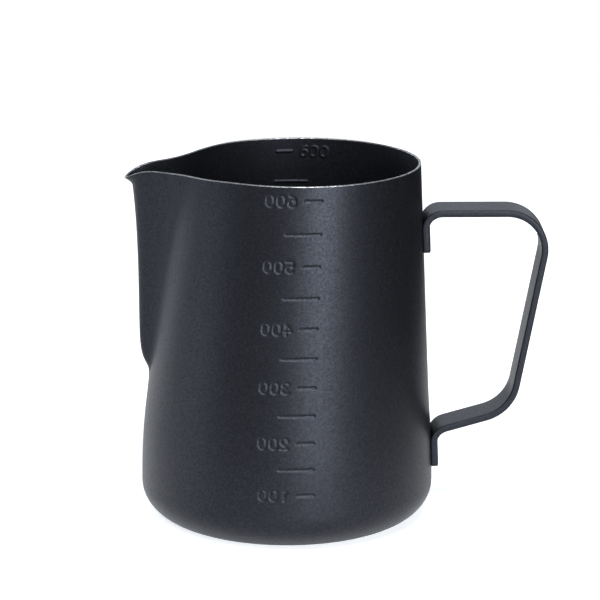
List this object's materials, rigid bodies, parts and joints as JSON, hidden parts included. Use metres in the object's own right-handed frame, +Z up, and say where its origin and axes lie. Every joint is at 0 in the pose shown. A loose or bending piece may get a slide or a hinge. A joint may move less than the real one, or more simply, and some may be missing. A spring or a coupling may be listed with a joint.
{
  "type": "milk frothing pitcher",
  "caption": "Matte black steel milk frothing jug with a pouring spout, pressed volume marks and an open strap handle.",
  "frame": {"origin": "middle of the base, on the plane that the jug stands on", "axes": "+Z up, spout towards -X, handle towards +X, a scale on the -Y and on the +Y side"},
  "size_m": [0.1339, 0.0936, 0.1158],
  "materials": {
    "coated_steel": "matte black baked coating on stainless steel sheet",
    "weld_steel": "bare fused steel, hidden between strap and wall"
  },
  "bodies": {
    "root": {"body": "coated_steel", "handle": "coated_steel", "upper_weld_front": "weld_steel", "upper_weld_back": "weld_steel", "lower_weld_front": "weld_steel", "lower_weld_back": "weld_steel"}
  },
  "joints": []
}
